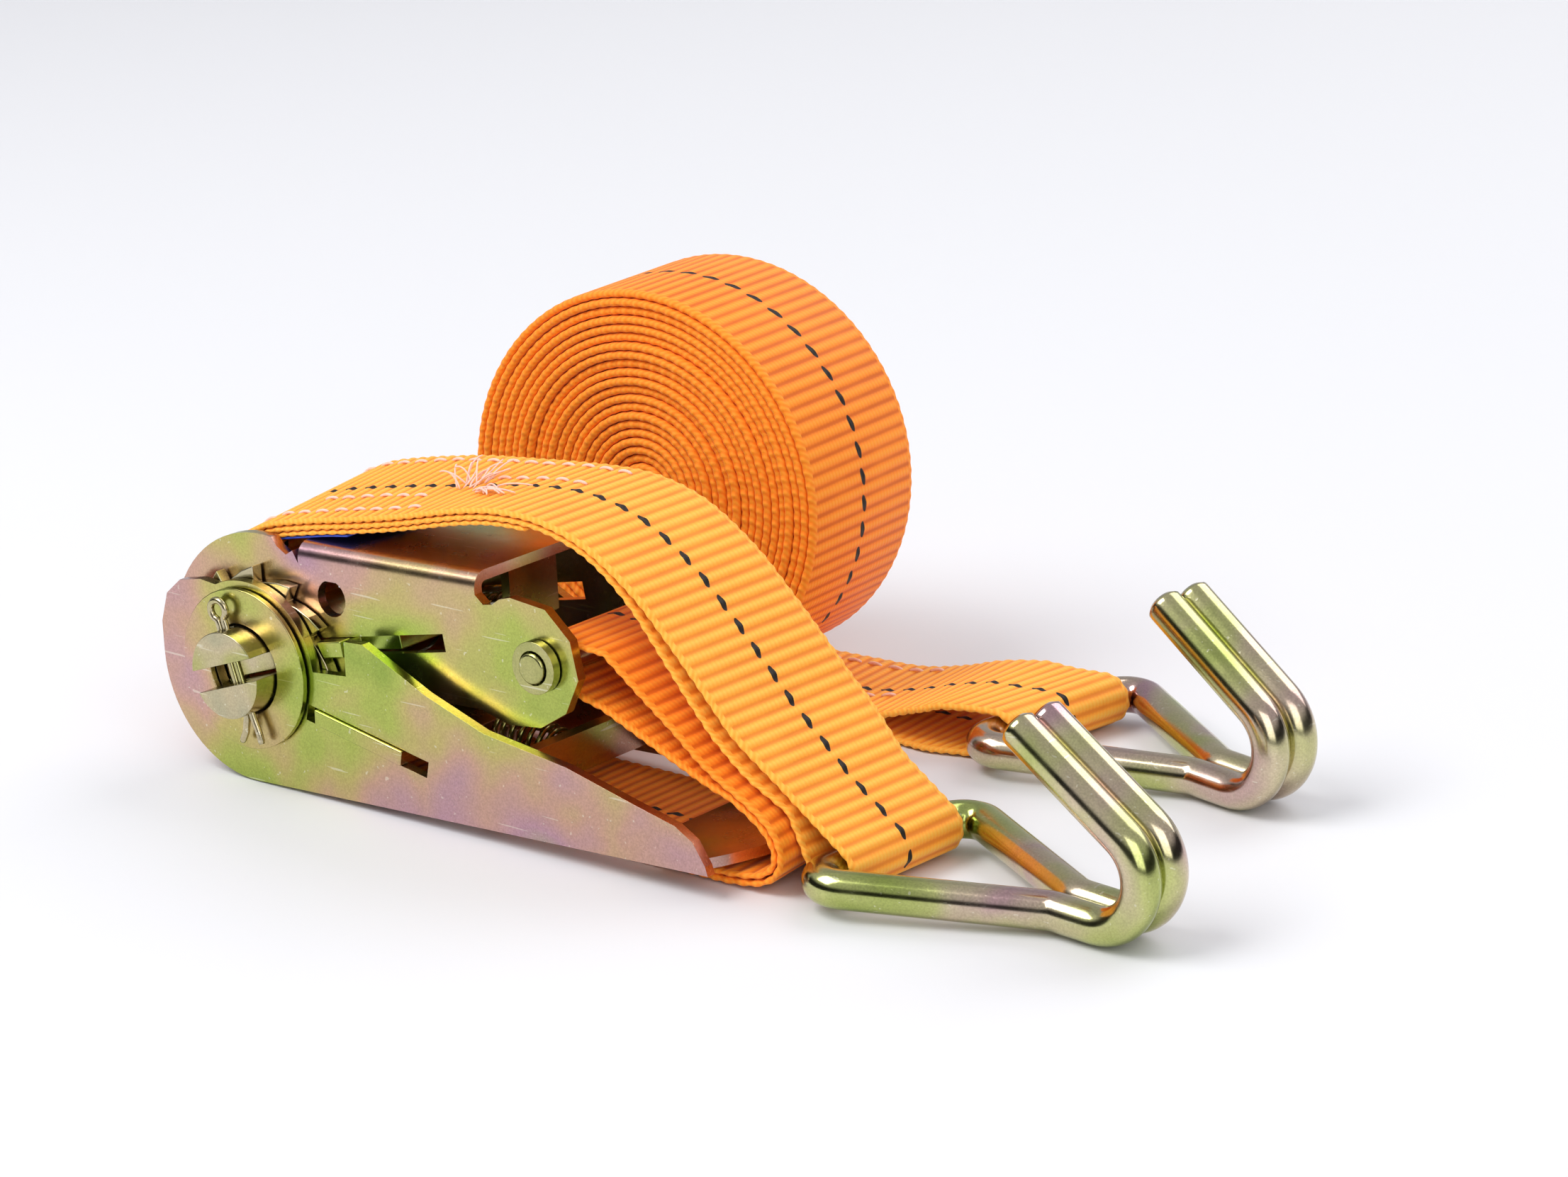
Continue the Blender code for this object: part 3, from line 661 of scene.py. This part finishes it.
@dataclass
class Steelwork:
    """The pressed and turned steel parts, with their edges broken."""

    frame: dict
    plate: ZincPlate = field(default_factory=lambda: ZincPlate("zinc_plate_pressed"))
    turned: ZincPlate = field(default_factory=lambda: ZincPlate(
        "zinc_plate_turned", ((0.25, "#8f9a52"), (0.45, "#b9b578"), (0.6, "#c9bb98"), (0.8, "#a8a98c")),
        0.2, 60.0))
    edges: dict[str, float] = field(default_factory=lambda: {
        "frame_bracket": 0.35, "handle_bracket": 0.35, "locking_pawl": 0.3, "drive_pawl": 0.3,
        "mandrel_half_upper": 0.45, "mandrel_half_lower": 0.45, "gear_near": 0.25, "gear_far": 0.25,
        "washer_near": 0.25, "washer_far": 0.25, "frame_pin": 0.6, "pin_ring_near": 0.3, "pin_ring_far": 0.3})
    spring_radius: float = 3.9
    spring_wire: float = 0.5
    spring_turns: int = 7
    cotter_wire: float = 0.68
    cotter_turn: float = math.radians(17)

    def soften(self, node: str, width: float, finish: bpy.types.Material) -> bpy.types.Object:
        """Copy a node's solid, merge its loose triangles, join its flats and bevel its edges.

        Args:
            node: the node's name.
            width: bevel width in millimetres.
            finish: the steel's material.

        Returns:
            The piece that replaces the node.
        """
        mesh = self.frame["nodes"][node].data.copy()
        body = bmesh.new()
        body.from_mesh(mesh)
        bmesh.ops.remove_doubles(body, verts=body.verts, dist=0.000002)
        bmesh.ops.dissolve_limit(body, angle_limit=math.radians(0.6), verts=body.verts, edges=body.edges)
        body.to_mesh(mesh)
        body.free()
        mesh.name = node + "_finished"
        mesh.materials.clear()
        mesh.materials.append(finish)
        mesh.shade_smooth()
        mesh.set_sharp_from_angle(angle=math.radians(32))
        piece = bpy.data.objects.new(node + "_finished", mesh)
        bpy.context.scene.collection.objects.link(piece)
        bevel = piece.modifiers.new("broken_edges", "BEVEL")
        bevel.width = width * MM
        bevel.segments = 3
        bevel.limit_method = "ANGLE"
        bevel.angle_limit = math.radians(32)
        bevel.harden_normals = True
        return piece

    def spring(self, tilt: float, height: float, start: float, end: float) -> np.ndarray:
        """A helix about a tilted line, its end turns closed up.

        Args:
            tilt: the line's angle in the buckle's frame.
            height: how far the line passes above the mandrel's axis.
            start: where the spring starts along the line.
            end: where it ends.

        Returns:
            The wire's middle line.
        """
        t = np.linspace(0, 1, 181)
        turns = self.spring_turns * 2 * math.pi * t
        u = start + (end - start) * (t - 0.05 * np.sin(2 * math.pi * t) * np.abs(np.cos(math.pi * t)))
        v = height + self.spring_radius * np.sin(turns)
        c, s = math.cos(tilt), math.sin(tilt)
        return buckle(np.stack([u * c - v * s, self.spring_radius * np.cos(turns), u * s + v * c], axis=1))

    def cotter(self, y: float) -> np.ndarray:
        """A cotter pin's wire: two legs side by side, an eye at the top and the tips spread.

        Args:
            y: the plane it lies in.

        Returns:
            The wire's middle line.
        """
        t = np.radians(np.linspace(-66, 246, 26))
        eye = np.stack([-1.9 * np.cos(t), 11.9 + 1.9 * np.sin(t)], axis=1)
        flat = np.vstack([[(-3.9, -13.0), (-2.2, -11.3), (-0.8, -8.8), (-0.78, 9.0)], eye,
                          [(0.78, 9.0), (0.8, -9.2), (1.1, -12.2), (1.0, -14.2)]])
        flat = respaced(flat, 0.5)
        c, s = math.cos(self.cotter_turn), math.sin(self.cotter_turn)
        return buckle(np.stack([flat[:, 0] * c - flat[:, 1] * s, np.full(len(flat), y),
                                flat[:, 0] * s + flat[:, 1] * c], axis=1))

    def build(self) -> None:
        """Build and dress every steel part of the buckle."""
        pressed, turned = self.plate.build(), self.turned.build()
        homes = {n: b for b, names in self.frame["record"]["behaviour"]["bodies"].items() for n in names}
        for node, width in self.edges.items():
            is_plate = node.endswith("bracket") or node.startswith(("washer", "locking", "drive"))
            slot = "gear" if node.startswith("gear") else "steel"
            emit(self.soften(node, width, pressed if is_plate else turned), homes[node], slot, node)
        for node, tilt, height, start, end in (("locking_spring", 9.5, 2.2, 34.0, 48.0),
                                               ("drive_spring", -12.6, -3.2, 41.9, 55.1)):
            coil = self.spring(math.radians(tilt), height, start, end)
            wire = bars(node + "_wire", [(coil, self.spring_wire, 0.0)], turned, 10)
            emit(wire, homes[node], "steel", node)
        for node, y in (("cotter_near", -28.7), ("cotter_far", 28.7)):
            wire = bars(node + "_wire", [(self.cotter(y), self.cotter_wire, 0.5)], turned, 12)
            emit(wire, homes[node], "steel", node)


@dataclass
class Hook:
    """A round bar bent to a triangle whose two ends run side by side into an open J."""

    name: str
    at: tuple[float, float, float]
    yaw: float
    finish: bpy.types.Material
    radius: float = 3.5
    half: float = 23.5
    neck: float = 3.75
    reach: float = 48.5
    straight: float = 9.0
    corner: float = 4.6
    bend: float = 9.3
    turn: float = math.radians(148.0)
    tip: float = 27.0
    dip: float = math.radians(2.0)

    def build(self) -> None:
        """Carry a circle along the bent line and round the cut ends over."""
        side = rounded([(0, 0, 0), (0, -self.half, 0), (self.reach - self.straight, -self.neck, 0),
                        (self.reach, -self.neck, 0)], self.corner)
        t = np.linspace(0, self.turn, 26)[1:]
        arc = np.stack([self.reach + self.bend * np.sin(t), np.full(len(t), -self.neck),
                        self.bend * (1 - np.cos(t))], axis=1)
        end = arc[-1] + np.array([math.cos(self.turn), 0, math.sin(self.turn)]) * self.tip
        near = respaced(np.vstack([side, arc, end[None]]), 0.8)
        path = np.vstack([near[::-1], (near * [1, -1, 1])[1:]])
        c, s = math.cos(self.dip), math.sin(self.dip)
        x, y, z = path.T
        x, z = x * c + z * s, z * c - x * s
        c, s = math.cos(self.yaw), math.sin(self.yaw)
        path = np.stack([x * c - y * s + self.at[0] + ORIGIN_X, x * s + y * c + self.at[1], z + self.at[2]],
                        axis=1)
        bar = bars(self.name + "_bar", [(path, self.radius, 1.0)], self.finish, 28)
        emit(bar, self.name, "steel", self.name)


@dataclass
class ShortStrap:
    """The sewn loop of the hooked strap, its label, seams and thread tails."""

    cloth: bpy.types.Material
    sunlit: bpy.types.Material
    thread: bpy.types.Material
    ribbon: bpy.types.Material
    hook: tuple[float, float] = (127.0, 5.25)
    pin: tuple[float, float] = (67.905, 33.915)
    top: tuple = ((-7.6, 43.5), (-1.0, 46.6), (8.4, 48.9), (20.0, 51.1), (31.8, 53.6), (45.8, 57.0),
                  (56.1, 58.6), (66.1, 58.3), (75.8, 55.4), (85.5, 48.9), (93.0, 41.5), (100.0, 33.9),
                  (106.0, 27.2))
    wrap: tuple = ((107.2, 17.1), (111.2, 14.3), (114.4, 11.2), (115.9, 7.9), (115.3, 4.9), (112.6, 2.6),
                   (108.0, 1.6), (100.0, 1.4), (60.0, 1.4), (20.0, 1.4), (2.0, 1.5), (-6.0, 3.0),
                   (-13.0, 8.0), (-17.3, 15.0), (-18.7, 23.0), (-17.6, 31.5), (-13.6, 38.6), (-8.0, 43.2))

    @staticmethod
    def drift(x: np.ndarray) -> np.ndarray:
        """Sideways place of the strap's middle as it runs to its hook."""
        return 2.5 * eased(x, 66.0, 116.0)

    @staticmethod
    def half(x: np.ndarray) -> np.ndarray:
        """Half width, gathered between the hook's corners."""
        return WEB_HALF - 2.2 * eased(x, 107.0, 121.0)

    @staticmethod
    def skew(x: np.ndarray) -> np.ndarray:
        """Slant that brings the strap parallel to the hook's crossbar."""
        return math.tan(math.radians(2.5)) * eased(x, 84.0, 119.0)

    @staticmethod
    def rise(p: np.ndarray) -> np.ndarray:
        """Slope of the far edge where the strap comes off the buckle's round end."""
        slope = 0.115 * eased(p[:, 1], 27.0, 44.0) * (1 - eased(p[:, 0], 18.0, 58.0))
        return np.where(p[:, 0] < 60, slope, 0.0)

    def upper_line(self) -> np.ndarray:
        """The outer layer's middle line along the top run."""
        return shifted(smooth(self.top, 0.4), 0.85)

    def top_run(self) -> bpy.types.Object:
        """One tape out over the buckle, round the hook and back, and the overlap under it."""
        middle = smooth(self.top, 0.4)
        along = np.gradient(middle, axis=0)
        along /= np.linalg.norm(along, axis=1)[:, None]
        normal = np.stack([-along[:, 1], along[:, 0]], axis=1)
        drop = -0.33 - 2.6 * eased(middle[:, 0], 76.0, 104.0)
        back = (middle + normal * drop[:, None])[::-1]
        lead_out = np.array([(112.7, 22.3), (119.2, 16.4)])
        lead_back = np.array([(118.0, 14.2), (111.3, 18.9)])
        out = np.vstack([self.upper_line(), lead_out])
        path = around(out, np.vstack([lead_back, back[2:]]), self.hook, 4.55, 0.4)
        loop = Tape(path, 1.2, self.half, self.drift, self.skew, self.rise, rib=0.12)
        lining = middle[middle[:, 0] < 63]
        under = Tape(shifted(lining, -1.36), 0.95, self.half, self.drift, self.skew, self.rise, rib=0.1,
                     columns=8)
        piece = tapes("short_strap_top", [loop, under], self.sunlit)
        emit(piece, "frame", "webbing", "strap_top_run", "strap_hook_eye")
        return piece

    def wrap_run(self) -> bpy.types.Object:
        """One tape from the round end, under the buckle, round the frame pin and back again."""
        middle = smooth(self.wrap, 0.45)
        upper = smooth([(106.6, 18.2), (101.0, 21.8), (95.7, 26.0), (87.9, 31.6), (80.0, 37.4)], 0.45)
        lower = smooth([(79.3, 27.2), (87.4, 23.9), (97.0, 20.0), (101.5, 18.2), (106.0, 16.6)], 0.45)
        turn = around(upper, lower, self.pin, 3.95, 0.45)
        first, second = shifted(middle, 0.68)[::-1], shifted(middle, -0.68)
        path = respaced(np.vstack([first[:-1], turn[2:-2], second[1:]]), 0.45)
        tape = Tape(path, 1.3, skew=lambda x: -0.12 * eased(x, 104.0, 115.0), rise=self.rise, rib=0.12)
        # The shaded copy of the webbing, with painted shade.
        piece = tapes("short_strap_wrap", [tape], self.cloth)
        emit(piece, "frame", "webbing", "strap_wrap", "strap_pin_eye")
        return piece

    def on_top(self, x: np.ndarray, v: np.ndarray, lift: float) -> np.ndarray:
        """Points on the top run's upper face.

        Args:
            x: places along the run.
            v: distances across it from its middle.
            lift: height above the face.

        Returns:
            (n, 3) points.
        """
        line = self.upper_line()
        order = line[:, 0]
        z = np.interp(x, order, line[:, 1]) + 0.62 + lift
        p = np.stack([x, z], axis=1)
        z = z + self.rise(p) * (v + WEB_HALF)
        return np.stack([x + self.skew(x) * v + ORIGIN_X, v + self.drift(x), z], axis=1)

    def seams(self) -> None:
        """Rows of lock stitches along the overlap, each a short thread that dips in at both ends."""
        parts = []
        rows = ((14.0, -6.0, 60.0), (4.2, 33.0, 58.0), (-5.8, 3.0, 30.0), (-13.2, -6.0, 34.0))
        for v, start, end in rows:
            for x0 in np.arange(start, end, 4.6):
                t = np.linspace(0, 1, 7)
                path = self.on_top(x0 + 3.0 * t, np.full(7, v) + 0.25 * math.sin(x0 * 3.1), 0.0)
                path[:, 2] += 0.32 * np.sin(math.pi * t) - 0.12
                parts.append((path, 0.3, 0.5))
        emit(bars("short_strap_seams", parts, self.thread, 7), "frame", "webbing")

    def tails(self) -> None:
        """Loose thread ends: arcs that leave the seam, rise and fall."""
        rng = np.random.default_rng(35)
        parts = []
        for k in range(28):
            flat = k >= 16
            x0, v0 = (36.0, -2.0) if not flat else (40.0, -5.0)
            x0, v0 = x0 + rng.normal(0, 1.2), v0 + rng.normal(0, 1.5)
            heading = rng.uniform(0.9, 2.9) if not flat else rng.uniform(-0.75, -0.2)
            reach = rng.uniform(6, 13) if flat else rng.uniform(4, 9)
            height = 0.7 if flat else rng.uniform(1.2, 3.6)
            t = np.linspace(0, 1, 12)
            bend = heading + 0.5 * rng.normal() * t
            x = x0 + np.cumsum(np.cos(bend)) * reach / 12
            v = np.clip(v0 + np.cumsum(np.sin(bend)) * reach / 12, -16.5, 16.5)
            path = self.on_top(x, v, 0.15)
            path[:, 2] += height * np.sin(t * (1.7 if not flat else 3.0)) + rng.uniform(0, 0.25)
            parts.append((path, 0.17, 0.4))
        emit(bars("short_strap_thread_ends", parts, self.thread, 6), "frame", "webbing")

    def label(self) -> None:
        """A ribbon under the top run, as one thin leaf."""
        line = smooth([(-3.0, 43.8), (1.0, 45.2), (8.4, 46.85), (14.0, 48.0), (19.0, 48.8)], 0.5)
        leaf = Tape(line, 0.36, lambda x: np.full_like(x, 11.3), lambda x: np.full_like(x, -6.0), rib=0.0,
                    columns=6)
        piece = tapes("label_ribbon", [leaf], self.ribbon)
        emit(piece, "frame", "label", "strap_label")

    def build(self) -> None:
        """Build every piece of the short strap."""
        self.top_run()
        self.wrap_run()
        self.label()
        self.seams()
        self.tails()


@dataclass
class LongStrap:
    """The rolled strap, with its tail sewn round the far hook."""

    cloth: bpy.types.Material
    sunlit: bpy.types.Material
    thread: bpy.types.Material
    at: tuple[float, float] = (27.3, 72.5)
    yaw: float = math.radians(4.5)
    radius: float = 41.0
    pitch: float = 1.72
    turns: int = 22
    hook: tuple[float, float, float] = (109.8, 76.6, 5.25)
    hook_yaw: float = math.radians(-8.5)

    def wander(self, length: np.ndarray) -> np.ndarray:
        """Side shift of the roll's turns: a few slow waves under half a millimetre."""
        return (0.28 * np.sin(length / 37.0) + 0.22 * np.sin(length / 91.0 + 1.0)
                + 0.15 * np.sin(length / 13.0 + 2.0)) * (length < 3000.0)

    def coil(self) -> None:
        """A spiral whose radius falls by one pitch each turn, ending under the roll."""
        angle = np.linspace(-self.turns * 2 * math.pi, 0, 4000)
        radius = self.radius - 0.675 + self.pitch * angle / (2 * math.pi)
        keep = radius > 3.2
        t = angle[keep] - math.pi / 2
        path = np.stack([radius[keep] * np.cos(t), self.radius + radius[keep] * np.sin(t)], axis=1)
        path = respaced(path, 0.55)
        tape = Tape(path, 1.62, columns=3, rib=0.05, yaw=self.yaw, place=self.at, wander=self.wander)
        # The shaded copy of the webbing, with painted shade.
        piece = tapes("long_strap_roll", [tape], self.cloth)
        emit(piece, "long_strap", "webbing", "long_strap")

    def reach(self) -> tuple[float, float]:
        """Distances along and across the tail to the hook's crossbar."""
        c, s = math.cos(self.yaw), math.sin(self.yaw)
        x, y = self.hook[0] - self.at[0], self.hook[1] - self.at[1]
        return x * c + y * s, y * c - x * s

    def tail(self) -> None:
        """The tail out to the hook, round its crossbar and back along the ground."""
        far, aside = self.reach()
        out = smooth([(0.5, 0.72), (8.0, 0.74), (14.0, 1.1), (19.0, 2.3), (30.0, 2.35), (42.0, 2.5),
                      (52.0, 4.4), (61.0, 7.2), (70.0, 9.4)], 0.45)
        back = smooth([(far - 3.0, 0.74), (60.0, 0.72), (40.0, 0.72), (21.0, 0.72)], 0.45)
        path = around(out, back, (far, self.hook[2]), 4.5, 0.45)
        lean = math.tan(self.yaw - self.hook_yaw)
        tape = Tape(path, 1.4, lambda x: WEB_HALF - 2.2 * eased(x, far - 18.0, far - 4.0),
                    lambda x: aside * eased(x, 46.0, far - 8.0),
                    skew=lambda x: lean * eased(x, far - 25.0, far - 4.0), rib=0.12,
                    yaw=self.yaw, place=self.at)
        piece = tapes("long_strap_tail", [tape], self.sunlit)
        emit(piece, "long_strap", "webbing", "long_strap")

    def seams(self) -> None:
        """Three rows of stitches that close the eye at the far hook."""
        c, s = math.cos(self.yaw), math.sin(self.yaw)
        parts = []
        line = smooth([(19.0, 2.3), (30.0, 2.35), (42.0, 2.5), (52.0, 4.4)], 0.5)
        for v in (-13.0, 13.0, -4.5):
            for x0 in np.arange(22.0, 49.0, 4.8):
                t = np.linspace(0, 1, 7)
                x = x0 + 3.1 * t
                z = np.interp(x, line[:, 0], line[:, 1]) + 0.66 + 0.3 * np.sin(math.pi * t)
                path = np.stack([x * c - v * s + self.at[0] + ORIGIN_X, x * s + v * c + self.at[1], z],
                                axis=1)
                parts.append((path, 0.3, 0.5))
        emit(bars("long_strap_seams", parts, self.thread, 7), "long_strap", "webbing")

    def build(self) -> None:
        """Build every piece of the long strap."""
        self.coil()
        self.tail()
        self.seams()


@dataclass
class Studio:
    """A white sweep in a pale room, three soft lights and the camera."""

    eye: tuple[float, float, float] = (553.9, -607.4, 292.3)
    azimuth: float = math.radians(38.7)
    elevation: float = math.radians(17.3)
    roll: float = math.radians(-1.31)
    lens: float = 107.4

    def camera(self) -> None:
        """Place the camera from its azimuth, elevation and roll."""
        a, e, r = self.azimuth, self.elevation, self.roll
        look = Vector((-math.sin(a) * math.cos(e), math.cos(a) * math.cos(e), -math.sin(e)))
        right = Vector((math.cos(a), math.sin(a), 0.0))
        up = right.cross(look)
        turned_right = right * math.cos(r) + up * math.sin(r)
        turned_up = up * math.cos(r) - right * math.sin(r)
        data = bpy.data.cameras.new("camera")
        data.lens = self.lens
        data.sensor_width = 36.0
        data.clip_end = 20.0
        made = bpy.data.objects.new("camera", data)
        basis = Matrix((turned_right, turned_up, -look)).transposed()
        made.matrix_world = Matrix.Translation(Vector(self.eye) * MM) @ basis.to_4x4()
        bpy.context.scene.collection.objects.link(made)
        bpy.context.scene.camera = made

    def light(self, name: str, place: tuple, size: float, power: float, colour: str = "#ffffff") -> None:
        """Add a square soft box that faces the object.

        Args:
            name: the light's name.
            place: its centre in metres.
            size: its side in metres.
            power: its power in watts.
            colour: its sRGB hex colour.
        """
        data = bpy.data.lights.new(name, "AREA")
        data.size = size
        data.energy = power
        data.color = linear(colour)[:3]
        made = bpy.data.objects.new(name, data)
        made.location = place
        aim = Vector((0.04, 0.03, 0.02)) - Vector(place)
        made.rotation_euler = aim.to_track_quat("-Z", "Y").to_euler()
        bpy.context.scene.collection.objects.link(made)

    def floor(self) -> None:
        """A sheet of card: flat ground that curves up into a wall behind, by a quarter circle."""
        y = np.r_[np.linspace(-4, 2.2, 8), 2.2 + 1.2 * np.sin(np.linspace(0.1, math.pi / 2, 12)), 3.4]
        z = np.r_[np.zeros(8), 1.2 - 1.2 * np.cos(np.linspace(0.1, math.pi / 2, 12)), 5.0] - 0.0002
        x = np.linspace(-6, 6, 7)
        grid = np.stack(np.broadcast_arrays(x[None], y[:, None], z[:, None]), axis=-1).reshape(-1, 3)
        r, c = np.meshgrid(np.arange(len(y) - 1), np.arange(6), indexing="ij")
        a = (r * 7 + c).ravel()
        card = mesh_object("sweep", grid / MM, np.stack([a, a + 1, a + 8, a + 7], axis=1), Backdrop().build())
        spin = Matrix.Rotation(math.radians(38.7), 4, "Z")
        card.data.transform(spin)

    def room(self) -> None:
        """A pale room; shiny parts also see its dark band between the ground and the soft boxes."""
        world = bpy.data.worlds.new("studio")
        world.use_nodes = True
        shade = world.node_tree.nodes["Background"]
        shade.inputs["Color"].default_value = linear("#f4f5f8")
        n = Nodes.within(world.node_tree)
        height = n.add("SeparateXYZ", None, 2, Vector=n.add("TexCoord"))
        band = n.ramp(height, [(0.02, "#ffffff"), (0.05, "#1c1c1c"), (0.34, "#242424"), (0.52, "#ffffff")])
        seen = n.mix(n.add("LightPath", None, "Is Glossy Ray"), linear("#ffffff"), band)
        world.node_tree.links.new(n.calc("MULTIPLY", seen, 0.62), shade.inputs["Strength"])
        bpy.context.scene.world = world

    def build(self) -> None:
        """Light the scene softly from above and set the view."""
        self.camera()
        self.floor()
        self.light("key", (-0.55, -0.75, 1.25), 0.9, 17.0)
        self.light("fill", (1.3, -0.9, 0.8), 1.2, 9.0)
        self.light("back", (0.3, 1.3, 1.2), 1.4, 13.0)
        self.room()
        bpy.context.scene.view_settings.view_transform = "Standard"


def main() -> None:
    """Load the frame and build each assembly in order."""
    logging.basicConfig(level=logging.INFO, format="%(message)s")
    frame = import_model()
    Studio().build()
    # cloth is the webbing with painted shade, darker and redder; sunlit is the same webbing with painted full
    # light.
    cloth, thread, ribbon = Webbing().build(), Thread().build(), LabelTape().build()
    sunlit = Webbing("painted_light_webbing", Tone.LIT).build()
    ShortStrap(cloth, sunlit, thread, ribbon).build()
    LongStrap(cloth, sunlit, thread).build()
    Steelwork(frame).build()
    bar = ZincPlate("zinc_plate_bar", ((0.25, "#a3b35a"), (0.4, "#c3c682"), (0.52, "#d3c4a4"),
                                       (0.66, "#c9a2ab"), (0.8, "#aeb47c")), 0.17, 48.0).build()
    Hook("near_hook", (127.0, 2.5, 5.25), math.radians(-2.5), bar).build()
    Hook("far_hook", (109.8, 76.6, 5.25), math.radians(-8.5), bar).build()


if __name__ == "__main__":
    main()
